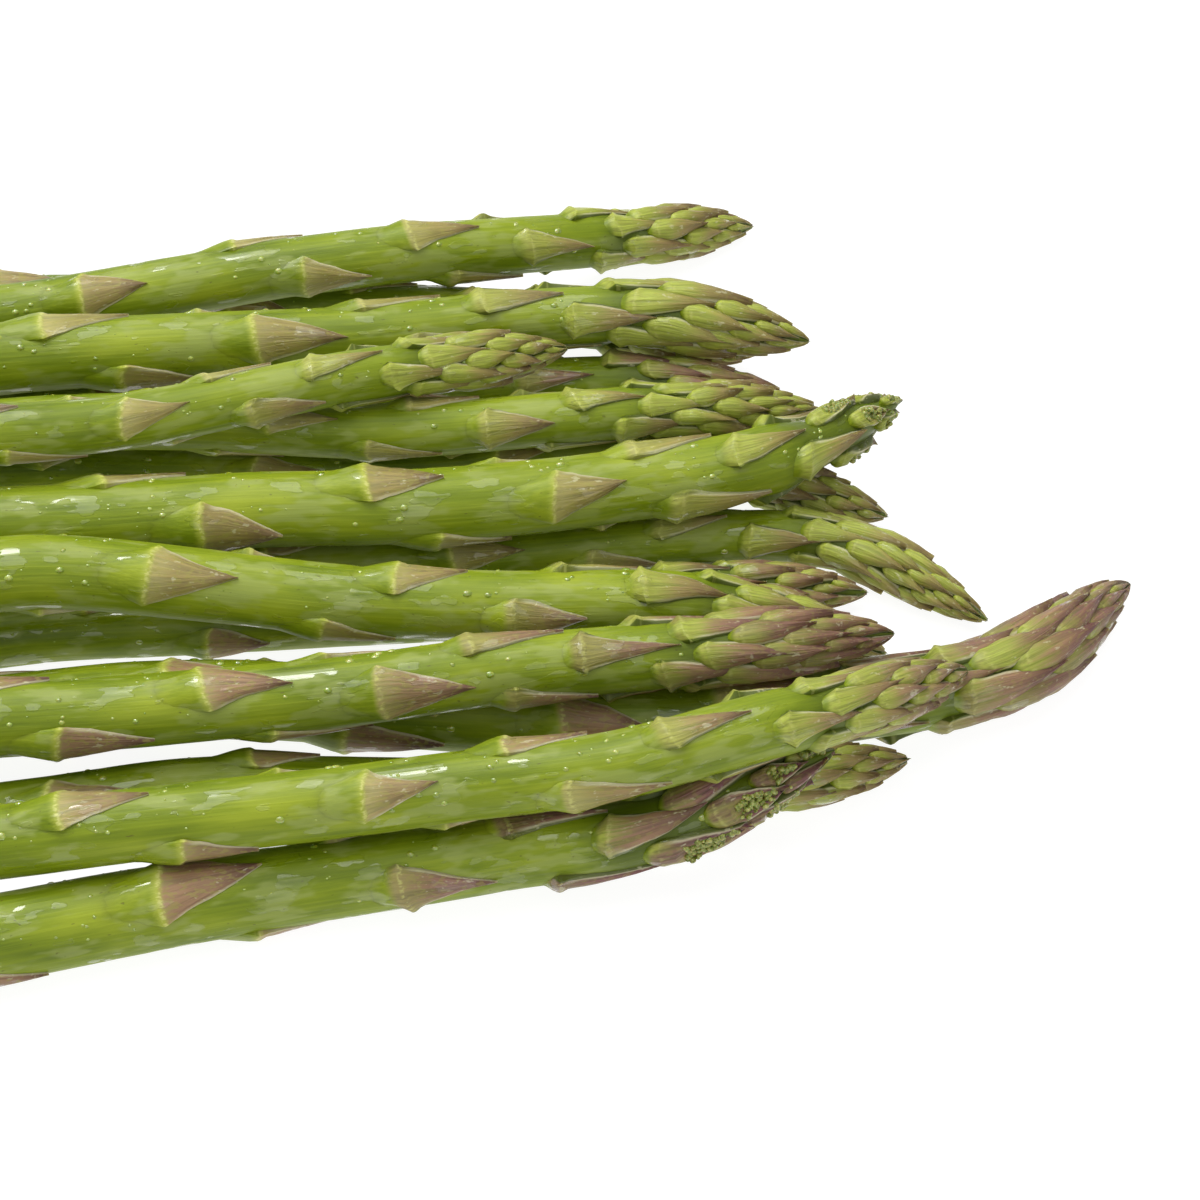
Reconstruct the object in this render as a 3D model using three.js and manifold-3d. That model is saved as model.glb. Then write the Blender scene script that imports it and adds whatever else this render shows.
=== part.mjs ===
// A bunch of sixteen green asparagus spears lying loose in about two layers, tips towards +X.
// Each spear grew as one piece, so it is one closed solid: a stem, the scale leaves that wind
// round it, and the head where the scales close over each other. Millimetres and degrees, +Z up.
import * as THREE from 'three';
import { mergeVertices } from 'three/addons/utils/BufferGeometryUtils.js';
import Module from 'manifold-3d';

const wasm = await Module();
wasm.setup();

// The origin is under the middle of the bunch. This point of the plan below becomes x = y = 0.
const PLAN_MIDDLE = { x: -39.5, y: 21.5 };

// How each spear is made.
const SIDES = 8;                 // facets round a stem, one of them turned straight down
const RING_STEP = 12;            // distance between two rings of the stem's own points
const DOME_END = 0.65;           // share of the head that is a dome; the rest runs into the neck
const DOME_POWER = 0.75;         // under 1 makes the dome full, over 1 makes it slender
const HEAD_COVER = 1.7;          // how deep the scales lie over the core of the head
const TIP_COVER = 0.45;          // but never more than this share of the head's radius
const TIP_RING = 0.8;            // distance of the last ring from the tip
const TIP_RADIUS = 0.45;
const GOLDEN_TURN = 137.5;       // turn from one scale to the next
const FIRST_SCALE = 6.5;         // distance of the youngest scale from the tip
const BUTT_CLEAR = 8;            // bare stem above the cut end
const SCALE_LENGTH = { base: 3.2, growth: 0.44, most: 15 };   // grows with distance from the tip
const SCALE_TIP_LIMIT = 3.6;     // no scale reaches closer to the tip than this
const SCALE_HALF_WIDTH = 50;     // of a scale at its base, as an angle round the stem
const HEAD_HALF_WIDTH = 56;      // the same in the head
const SHIELD = [[0, 1], [0.35, 0.88], [0.7, 0.5], [1, 0]];   // half width of a scale from its base to its tip
const MIDRIB_FROM = 0.6;         // a scale has a point on its middle where it is wider than this
const EDGE_DROP = 0.3;           // a scale is lower at its edges than on its middle by this share
const HEAD_SCALES_FROM = 3;      // the scales of the head start this far below it
const BASE_HEIGHT = 0.95;        // how far a stem scale stands out at its base
const TIP_HEIGHT = 0.8;          // and at its tip
const HEAD_BASE_HEIGHT = 0.5;    // the same in the head, where older scales lie over younger ones
const HEAD_TIP_HEIGHT = 1.9;
const YOUNGEST_LIFT = 0.15;      // young scales near the tip stand out less
const FULL_LIFT_AT = 26;         // added share: distance from the tip over this length
const EDGE_RUN = 0.4;            // the edge of a scale drops to the stem within this width
const POINT_ROOM = 0.32;         // no two points of a scale's outline and foot are closer than this
const RING_ROOM = 2.2;           // and none of the stem's own is closer to them than this
const GUARD_GAP = 4;             // guard points past both ends of an unrolled stem keep its ends straight
const GUARD_TURN = 45;           // angle from one guard point to the next
const GUARD_WAVE = 0.01;         // and a slight wave, because no four points may lie on one circle
const NUDGE = 0.02;              // for the same reason each point moves at random by up to half of this
const FAR_AWAY = 1e4;            // corners of the triangle that every point lies in
const MERGE_WITHIN = 1e-4;
const WIDTH_SPREAD = 6;          // random part of the half width
const LENGTH_SPREAD = 0.12;      // random part of a scale's length, as a share
const TURN_SPREAD = 7;           // random part of the turn

// How the spears lie.
const NODE_STEP = 4;             // distance between two points of a settling stem
const CLEARANCE = 0.92;          // room for the scales round a bare stem
const FLOOR_PRESS = 0.12;        // the narrow flat that a stem rests on is cut this deep
const STIFFNESS = 12;            // against bending
const TENSION = 0.6;             // against stretching
const WEIGHT = 0.05;             // pull down at each point
const MOMENTUM = 0.93;
const SETTLE_ROUNDS = 1600;
const FLOOR_SLAB = { side: 600, depth: 40 };   // what is cut away under the bunch

// The colours of the skins. Scales tinged with purple make the whole spear look browner.
const SKINS = { green: 0x86a83a, purple: 0x8b9a4a };
const ROUGHNESS = 0.35;

// One row a spear, in the order they are laid down. skin names its colour. butt and neck are the
// stem's diameters at the cut end and under the head, and headGirth is the head's over its scales.
// scale says where the spiral of scales runs: one scale's distance from the tip and its angle from
// straight up towards +Y, the ratio of a scale's distance to the next one's, and the spiral's hand.
// route is the stem's plan from cut end to tip.
const SPEARS = [
  { skin: 'green', butt: 11.6, neck: 10.0, head: 32, headGirth: 10.8,
    scale: { at: 30, angle: 15, ratio: 1.13, hand: 1 },
    route: [[-163, 104], [-134, 100], [-104, 96], [-75, 92], [-46, 87], [-17, 81], [11, 73], [39, 63]] },
  { skin: 'purple', butt: 11.2, neck: 10.0, head: 41, headGirth: 11.6,
    scale: { at: 31, angle: -60, ratio: 1.12, hand: -1 },
    route: [[-158, 80], [-129, 74], [-100, 68], [-70, 65], [-40, 62], [-11, 60], [19, 56], [47, 46]] },
  { skin: 'green', butt: 11.2, neck: 9.8, head: 32, headGirth: 10.8,
    scale: { at: 31.2, angle: -170, ratio: 1.10, hand: 1 },
    route: [[-158, 54], [-127, 53], [-95, 51], [-64, 46], [-33, 42], [-2, 40], [28, 32], [56, 19]] },
  { skin: 'green', butt: 11.2, neck: 9.6, head: 43, headGirth: 10.8,
    scale: { at: 32.4, angle: 120, ratio: 1.10, hand: 1 },
    route: [[-150, 24], [-118, 25], [-85, 24], [-53, 21], [-20, 19], [12, 18], [44, 13], [69, -7]] },
  { skin: 'purple', butt: 10.6, neck: 9.4, head: 34, headGirth: 10.6,
    scale: { at: 31.5, angle: -110, ratio: 1.18, hand: 1 },
    route: [[-160, 8], [-130, 10], [-100, 12], [-70, 10], [-41, 8], [-11, 6], [19, 5], [49, 2]] },
  { skin: 'purple', butt: 14.6, neck: 12.8, head: 55, headGirth: 15.2,
    scale: { at: 32.7, angle: -60, ratio: 1.10, hand: -1 },
    route: [[-140, -10], [-105, -7], [-70, -8], [-36, -15], [-2, -22], [33, -25], [68, -22], [96, -2]] },
  { skin: 'green', butt: 11.4, neck: 10.2, head: 34, headGirth: 11.4,
    scale: { at: 30.8, angle: 110, ratio: 1.14, hand: 1 },
    route: [[-168, -25], [-136, -27], [-105, -27], [-74, -26], [-43, -30], [-13, -35], [18, -39], [49, -36]] },
  { skin: 'purple', butt: 16.2, neck: 12.4, head: 47, headGirth: 14.6,
    scale: { at: 33.1, angle: -170, ratio: 1.15, hand: 1 },
    route: [[-174, -59], [-144, -56], [-114, -54], [-84, -51], [-54, -49], [-24, -49], [5, -50], [34, -42]] },
  { skin: 'green', butt: 11.0, neck: 9.6, head: 41, headGirth: 10.8,
    scale: { at: 30, angle: -30, ratio: 1.10, hand: -1 },
    route: [[-155, 46], [-126, 49], [-97, 51], [-68, 48], [-39, 42], [-10, 40], [19, 40], [48, 42]] },
  { skin: 'green', butt: 14.2, neck: 12.8, head: 33, headGirth: 12.6,
    scale: { at: 31.1, angle: 70, ratio: 1.13, hand: 1 },
    route: [[-152, 33], [-121, 28], [-90, 25], [-59, 24], [-28, 21], [4, 21], [35, 24], [62, 39]] },
  { skin: 'green', butt: 13.8, neck: 11.6, head: 39, headGirth: 12.4,
    scale: { at: 31.2, angle: 40, ratio: 1.14, hand: -1 },
    route: [[-160, 12], [-130, 11], [-99, 11], [-69, 7], [-40, 2], [-10, -2], [21, -5], [50, -11]] },
  { skin: 'green', butt: 14.6, neck: 10.8, head: 43, headGirth: 14.0,
    scale: { at: 30, angle: 120, ratio: 1.11, hand: 1 },
    route: [[-152, 66], [-123, 67], [-94, 67], [-66, 66], [-37, 65], [-8, 66], [20, 64], [48, 57]] },
  { skin: 'green', butt: 11.8, neck: 10.8, head: 37, headGirth: 11.6,
    scale: { at: 31.1, angle: 120, ratio: 1.13, hand: 1 },
    route: [[-150, 84], [-117, 83], [-85, 84], [-52, 85], [-19, 87], [13, 93], [45, 100]] },
  { skin: 'purple', butt: 13.4, neck: 11.4, head: 44, headGirth: 13.4,
    scale: { at: 31.5, angle: -130, ratio: 1.10, hand: 1 },
    route: [[-165, -18], [-134, -17], [-104, -17], [-73, -18], [-43, -20], [-12, -20], [19, -20], [49, -18]] },
  { skin: 'purple', butt: 12.8, neck: 11.2, head: 41, headGirth: 12.4,
    scale: { at: 32.7, angle: 30, ratio: 1.13, hand: 1 },
    route: [[-161, -37], [-129, -39], [-97, -42], [-64, -43], [-32, -44], [0, -46], [31, -40], [60, -27]] },
  { skin: 'green', butt: 10.6, neck: 9.4, head: 37, headGirth: 11.4,
    scale: { at: 30, angle: 30, ratio: 1.11, hand: 1 },
    route: [[-170, 36], [-141, 36], [-112, 37], [-83, 38], [-55, 42], [-26, 48], [2, 55]] },
];

const clamp01 = (value) => Math.min(1, Math.max(0, value));
const mix = (a, b, share) => a + (b - a) * share;
const smooth = (share) => clamp01(share) ** 2 * (3 - 2 * clamp01(share));

// A small repeatable source of random numbers between 0 and 1.
function randomSource(seed) {
  let state = seed * 7919 + 17;
  return () => {
    state = (state * 16807) % 2147483647;
    return state / 2147483647;
  };
}

// The stem's radius without its scales, at a distance from the tip.
function stemRadius(spear, distance) {
  const share = clamp01((distance - spear.head) / (spear.length - spear.head));
  return mix(spear.neck, spear.butt, share) / 2;
}

// The radius over the scales of the head: a pointed dome that runs into the stem.
function headRadius(spear, distance) {
  const share = clamp01(distance / spear.head);
  const dome = Math.sin(Math.PI / 2 * Math.min(1, share / DOME_END)) ** DOME_POWER;
  const underHead = spear.neck / 2 + CLEARANCE;
  return mix(spear.headGirth / 2 * dome, underHead, smooth((share - DOME_END) / (1 - DOME_END)));
}

// The radius of the surface that the scales grow from.
function coreRadius(spear, distance) {
  if (distance >= spear.head) return stemRadius(spear, distance);
  const radius = headRadius(spear, distance);
  const closing = smooth((distance / spear.head - DOME_END) / (1 - DOME_END));
  const cover = mix(HEAD_COVER, CLEARANCE, closing);
  return Math.max(TIP_RADIUS, radius - Math.min(cover, TIP_COVER * radius));
}

// The radius at which a spear meets its neighbours.
function contactRadius(spear, distance) {
  if (distance < spear.head) return Math.max(TIP_RADIUS, headRadius(spear, distance));
  return stemRadius(spear, distance) + CLEARANCE;
}

// The plan of a spear as evenly spaced points, with the distance of each from the tip.
function layPlan(spear) {
  const corners = spear.route.map(([x, y]) => new THREE.Vector3(x - PLAN_MIDDLE.x, y - PLAN_MIDDLE.y, 0));
  const curve = new THREE.CatmullRomCurve3(corners, false, 'catmullrom', 0.5);
  const steps = Math.round(curve.getLength() / NODE_STEP);
  spear.length = curve.getLength();
  spear.points = curve.getSpacedPoints(steps);
  spear.distances = spear.points.map((_, i) => spear.length * (1 - i / steps));
}

// The lowest height that each point of a spear may take over the floor and the spears under it.
function heightsUnder(spear, laid) {
  return spear.points.map((point, i) => {
    const radius = contactRadius(spear, spear.distances[i]);
    const bare = coreRadius(spear, spear.distances[i]);
    const onFacet = bare * Math.cos(Math.PI / SIDES) - FLOOR_PRESS;
    let height = spear.distances[i] < spear.head ? radius : onFacet;
    for (const other of laid) {
      for (let j = 0; j < other.points.length; j += 1) {
        const reach = radius + contactRadius(other, other.distances[j]);
        const apart = Math.hypot(point.x - other.points[j].x, point.y - other.points[j].y);
        if (apart < reach) {
          height = Math.max(height, other.points[j].z + Math.sqrt(reach ** 2 - apart ** 2));
        }
      }
    }
    return height;
  });
}

// Lets a springy stem sink under its own weight until it lies on what is under it.
function settle(spear, laid) {
  const under = heightsUnder(spear, laid);
  const last = under.length - 1;
  // The steepest answer of the bending and stretching terms to one point's move keeps it stable.
  const pace = 1 / (16 * STIFFNESS + 4 * TENSION);
  let heights = under.slice();
  let before = heights.slice();
  for (let round = 0; round < SETTLE_ROUNDS; round += 1) {
    const bend = heights.map((height, i) => (
      i === 0 || i === last ? 0 : heights[i - 1] - 2 * height + heights[i + 1]));
    const next = heights.map((height, i) => {
      const spread = (bend[i - 1] ?? 0) - 2 * bend[i] + (bend[i + 1] ?? 0);
      const push = -STIFFNESS * spread + TENSION * bend[i] - WEIGHT;
      return Math.max(under[i], height + pace * push + MOMENTUM * (height - before[i]));
    });
    before = heights;
    heights = next;
  }
  spear.points.forEach((point, i) => { point.z = heights[i]; });
}

// The middle of the stem and its sideways and upward directions, at a distance from the tip.
function frameAt(spear, distance) {
  const steps = spear.points.length - 1;
  const along = Math.min(steps, Math.max(0, (1 - distance / spear.length) * steps));
  const index = Math.min(steps - 1, Math.floor(along));
  const share = (1 - distance / spear.length) * steps - index;
  const middle = spear.points[index].clone().lerp(spear.points[index + 1], share);
  const from = spear.points[Math.max(0, index - 1)];
  const to = spear.points[Math.min(steps, index + 2)];
  const forward = to.clone().sub(from).normalize();
  const side = new THREE.Vector3(0, 0, 1).cross(forward).normalize();
  const up = forward.clone().cross(side);
  return { middle, side, up };
}

// A point at an angle round the stem, and a height over the surface that the scales grow from.
function surfacePoint(spear, distance, angle, height) {
  const { middle, side, up } = frameAt(spear, distance);
  const turn = THREE.MathUtils.degToRad(angle);
  const radius = coreRadius(spear, distance) + height;
  return middle.clone()
    .addScaledVector(up, radius * Math.cos(turn))
    .addScaledVector(side, radius * Math.sin(turn));
}

// Where the scales of a spear grow: a spiral whose steps shorten towards the tip.
function scalesOf(spear, random) {
  const { at, angle, ratio, hand } = spear.scale;
  const scales = [];
  const youngest = Math.ceil(Math.log(FIRST_SCALE / at) / Math.log(ratio));
  const oldest = Math.floor(Math.log((spear.length - BUTT_CLEAR) / at) / Math.log(ratio));
  for (let step = oldest; step >= youngest; step -= 1) {
    const distance = at * ratio ** step;
    const inHead = distance < spear.head + HEAD_SCALES_FROM;
    const full = Math.min(SCALE_LENGTH.most, SCALE_LENGTH.base + SCALE_LENGTH.growth * distance);
    const length = full * (1 + LENGTH_SPREAD * (random() - 0.5));
    const lift = Math.min(1, YOUNGEST_LIFT + distance / FULL_LIFT_AT);
    scales.push({
      distance,
      angle: angle + hand * GOLDEN_TURN * step + TURN_SPREAD * (random() - 0.5),
      length: Math.min(length, distance - SCALE_TIP_LIMIT),
      halfWidth: (inHead ? HEAD_HALF_WIDTH : SCALE_HALF_WIDTH) + WIDTH_SPREAD * (random() - 0.5),
      baseHeight: lift * (inHead ? HEAD_BASE_HEIGHT : BASE_HEIGHT),
      tipHeight: lift * (inHead ? HEAD_TIP_HEIGHT : TIP_HEIGHT),
    });
  }
  return scales;
}

// The half width of a scale at a share of its length, as a share of its base's.
function shieldWidth(along) {
  const far = SHIELD.findIndex(([share]) => share >= along - 1e-9);
  if (far <= 0) return SHIELD[0][1];
  const [nearShare, nearWidth] = SHIELD[far - 1];
  const [farShare, farWidth] = SHIELD[far];
  return mix(nearWidth, farWidth, (along - nearShare) / (farShare - nearShare));
}

// The turn from one angle to another, between -180 and 180.
const turnBetween = (from, to) => ((to - from + 540) % 360 + 360) % 360 - 180;

// How high a scale stands over the stem at a point that it covers, or 0 outside its outline.
function scaleHeight(scale, distance, angle) {
  const along = (scale.distance - distance) / scale.length;
  if (along < 0 || along > 1) return 0;
  const across = Math.abs(turnBetween(scale.angle, angle)) / scale.halfWidth;
  const width = shieldWidth(along);
  if (across > width) return 0;
  const crown = width > 0 ? 1 - EDGE_DROP * (across / width) ** 2 : 1;
  return mix(scale.baseHeight, scale.tipHeight, along) * crown;
}

// Millimetres round the stem that one degree takes, on the unrolled stem.
const roundPerDegree = (spear) => THREE.MathUtils.degToRad(spear.neck / 2);

// The angles of a ring of the stem's own points, with a facet straight down.
const ringAngles = Array.from({ length: SIDES }, (_, side) => 180 + (side + 0.5) * 360 / SIDES);

// The outline of a scale as [share of its length, share of its half width], with its midrib.
function shieldOutline() {
  return SHIELD.flatMap(([along, width]) => {
    if (width === 0) return [[along, 0]];
    const shares = width > MIDRIB_FROM ? [-width, 0, width] : [-width, width];
    return shares.map((share) => [along, share]);
  });
}

// The points of a spear's surface on its unrolled stem: each scale's raised outline with the foot
// of its edge beside it, and rings of the stem's own points where no scale is close.
function surfacePlan(spear, scales) {
  const plan = [];
  const perDegree = roundPerDegree(spear);
  const isClose = (distance, angle, room) => plan.some((other) => (
    Math.hypot(other.distance - distance, turnBetween(other.angle, angle) * perDegree) < room));
  for (const distance of [spear.length, TIP_RING]) {
    for (const angle of ringAngles) plan.push({ distance, angle, height: 0 });
  }
  for (const scale of scales) {
    for (const [along, share] of shieldOutline()) {
      const distance = scale.distance - scale.length * along;
      const angle = scale.angle + scale.halfWidth * share;
      const crown = share === 0 ? 1 : 1 - EDGE_DROP;
      const height = mix(scale.baseHeight, scale.tipHeight, along) * crown;
      const isHidden = scales.some((other) => (
        other !== scale && scaleHeight(other, distance, angle) > height));
      if (isHidden || isClose(distance, angle, POINT_ROOM)) continue;
      plan.push({ distance, angle, height });
      const isMidrib = share === 0 && along > 0 && along < 1;
      if (isMidrib) continue;
      const footDistance = distance + (along === 0 ? EDGE_RUN : 0) - (along === 1 ? EDGE_RUN : 0);
      const footAngle = angle + Math.sign(share) * EDGE_RUN / perDegree;
      if (footDistance < TIP_RING * 2 || isClose(footDistance, footAngle, POINT_ROOM)) continue;
      const covered = scales.map((other) => scaleHeight(other, footDistance, footAngle));
      plan.push({ distance: footDistance, angle: footAngle, height: Math.max(...covered) });
    }
  }
  const rings = Math.round((spear.length - spear.head) / RING_STEP);
  for (let ring = 1; ring <= rings; ring += 1) {
    const distance = mix(spear.length, spear.head, ring / rings);
    for (const angle of ringAngles) {
      const isCovered = scales.some((scale) => scaleHeight(scale, distance, angle) > 0);
      if (!isCovered && !isClose(distance, angle, RING_ROOM)) plan.push({ distance, angle, height: 0 });
    }
  }
  return plan;
}

// Joins points of a plane into well-shaped triangles. Each point is added in turn: the triangles
// whose circles it lies in are opened, and their outer edges are joined to it.
function triangulate(points) {
  const all = points.concat([
    { u: -FAR_AWAY, v: -FAR_AWAY }, { u: FAR_AWAY, v: -FAR_AWAY }, { u: 0, v: FAR_AWAY }]);
  const circled = (a, b, c) => {
    const [p, q, r] = [all[a], all[b], all[c]];
    const qu = q.u - p.u;
    const qv = q.v - p.v;
    const ru = r.u - p.u;
    const rv = r.v - p.v;
    const twice = 2 * (qu * rv - qv * ru);
    const u = (rv * (qu ** 2 + qv ** 2) - qv * (ru ** 2 + rv ** 2)) / twice;
    const v = (qu * (ru ** 2 + rv ** 2) - ru * (qu ** 2 + qv ** 2)) / twice;
    return { corners: [a, b, c], u: p.u + u, v: p.v + v, reach: u ** 2 + v ** 2 };
  };
  const count = points.length;
  let triangles = [circled(count, count + 1, count + 2)];
  points.forEach((point, i) => {
    const isOpened = (t) => (t.u - point.u) ** 2 + (t.v - point.v) ** 2 < t.reach;
    const edges = new Map();
    for (const { corners } of triangles.filter(isOpened)) {
      for (let k = 0; k < 3; k += 1) {
        const [a, b] = [corners[k], corners[(k + 1) % 3]];
        if (!edges.delete(`${b},${a}`)) edges.set(`${a},${b}`, [a, b]);
      }
    }
    triangles = triangles.filter((t) => !isOpened(t));
    for (const [a, b] of edges.values()) triangles.push(circled(a, b, i));
  });
  return triangles.map((t) => t.corners).filter((corners) => corners.every((a) => a < count));
}

// The whole skin of a spear: the unrolled points are joined with a copy of themselves on either
// side, so that the seam closes, and the triangles round the stem once are kept.
function makeSpearSolid(spear, random) {
  const plan = surfacePlan(spear, scalesOf(spear, random));
  const perDegree = roundPerDegree(spear);
  const nudges = plan.map(() => [NUDGE * (random() - 0.5), NUDGE * (random() - 0.5)]);
  const unrolled = [];
  for (const turn of [-1, 0, 1]) {
    plan.forEach((point, i) => unrolled.push({
      u: point.distance + nudges[i][0],
      v: (turnBetween(0, point.angle) + 360 * turn) * perDegree + nudges[i][1],
    }));
  }
  const count = plan.length;
  const halfTurn = 180 * perDegree;
  for (const beyond of [spear.length + GUARD_GAP, TIP_RING - GUARD_GAP]) {
    for (let v = -3 * halfTurn; v <= 3 * halfTurn; v += GUARD_TURN * perDegree) {
      unrolled.push({ u: beyond + GUARD_WAVE * Math.sin(v), v });
    }
  }
  const kept = triangulate(unrolled).filter((corners) => {
    if (corners.some((corner) => corner >= 3 * count)) return false;
    const centre = corners.reduce((sum, corner) => sum + unrolled[corner].v, 0) / 3;
    return centre >= -halfTurn && centre < halfTurn;
  });
  const points = plan.map((p) => surfacePoint(spear, p.distance, p.angle, p.height));
  const triangles = kept.map(([a, b, c]) => [a % count, c % count, b % count]);
  const butt = points.push(frameAt(spear, spear.length).middle) - 1;
  const tip = points.push(frameAt(spear, 0).middle) - 1;
  for (let side = 0; side < SIDES; side += 1) {
    const next = (side + 1) % SIDES;
    triangles.push([butt, side, next], [tip, SIDES + next, SIDES + side]);
  }
  return solidFrom(points, triangles);
}

// A solid for cutting, from points and the triangles that join them.
function solidFrom(points, triangles) {
  const geometry = new THREE.BufferGeometry();
  geometry.setAttribute('position', new THREE.Float32BufferAttribute(points.flatMap((p) => p.toArray()), 3));
  geometry.setIndex(triangles.flat());
  return solidFromGeometry(geometry);
}

// The same from a three.js geometry.
function solidFromGeometry(geometry) {
  geometry.deleteAttribute('normal');
  geometry.deleteAttribute('uv');
  const merged = mergeVertices(geometry, MERGE_WITHIN);
  return new wasm.Manifold(new wasm.Mesh({
    numProp: 3,
    vertProperties: new Float32Array(merged.attributes.position.array),
    triVerts: new Uint32Array(merged.index.array),
  }));
}

const floorSlab = new THREE.BoxGeometry(FLOOR_SLAB.side, FLOOR_SLAB.side, FLOOR_SLAB.depth);
floorSlab.translate(0, 0, -FLOOR_SLAB.depth / 2);
const belowFloor = solidFromGeometry(floorSlab);

// The finished spear, with the strip that it rests on cut flat.
function makeSpear(spear, number) {
  const solid = makeSpearSolid(spear, randomSource(number)).subtract(belowFloor);
  const mesh = solid.getMesh();
  const geometry = new THREE.BufferGeometry();
  geometry.setAttribute('position', new THREE.Float32BufferAttribute(mesh.vertProperties, 3));
  geometry.setIndex(Array.from(mesh.triVerts));
  const color = SKINS[spear.skin];
  const material = new THREE.MeshStandardMaterial({ color, roughness: ROUGHNESS, metalness: 0 });
  const node = new THREE.Mesh(geometry, material);
  node.name = `spear_${String(number).padStart(2, '0')}`;
  return node;
}

const bunch = new THREE.Group();
const laid = [];
SPEARS.forEach((spear, i) => {
  layPlan(spear);
  settle(spear, laid);
  laid.push(spear);
  bunch.add(makeSpear(spear, i + 1));
});

export default bunch;
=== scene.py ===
# %% [markdown]
# # A bundle of green asparagus
# Sixteen spears lie loosely on a pale table with their tips to the right. Each spear is one piece:
# a stem with its skin, the scales that wind round it in a spiral, the closed head, the cut end, and
# the water left on it after a rinse. The spears differ only in their sizes, their route across the
# table and how purple their scales are, so one set of rules makes all of them.

# %% The frame
import math
from collections import namedtuple

import bpy
import numpy as np
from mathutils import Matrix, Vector


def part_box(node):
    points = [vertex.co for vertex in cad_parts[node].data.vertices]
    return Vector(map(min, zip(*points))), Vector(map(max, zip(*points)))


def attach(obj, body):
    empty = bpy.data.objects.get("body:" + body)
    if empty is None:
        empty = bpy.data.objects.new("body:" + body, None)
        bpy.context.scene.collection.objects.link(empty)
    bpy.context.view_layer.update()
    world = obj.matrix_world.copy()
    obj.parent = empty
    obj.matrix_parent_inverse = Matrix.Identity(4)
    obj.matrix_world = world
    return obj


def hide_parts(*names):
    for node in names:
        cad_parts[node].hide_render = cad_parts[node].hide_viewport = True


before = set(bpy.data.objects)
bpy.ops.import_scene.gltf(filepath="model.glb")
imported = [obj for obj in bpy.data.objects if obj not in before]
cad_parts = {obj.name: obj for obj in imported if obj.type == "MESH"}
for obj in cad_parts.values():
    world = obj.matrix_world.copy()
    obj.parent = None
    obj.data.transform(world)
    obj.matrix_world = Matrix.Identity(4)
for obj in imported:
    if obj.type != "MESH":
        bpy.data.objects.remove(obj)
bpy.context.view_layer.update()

# %% [markdown]
# ## The spears
# Every row gives a spear's thickness at the cut end and below the head, the length and girth of the
# head, the spiral of its scales (distance of one scale from the tip, its angle round the stem, how
# much further away each older scale stands, and the hand of the spiral), how loosely the scales of
# the head stand, how purple and how light the skin is, the share of scales that have opened, and the
# route over the table from the cut end to the tip. Sizes and routes are those of the solids, repeated,
# so that the fine surface lies where each solid is. All of it is in millimetres.

# %% The table of spears
MM = 0.001
PLAN_MIDDLE = (-39.5, 21.5)
GREEN, PURPLE = "green_spear", "purple_tinged_spear"

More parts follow.
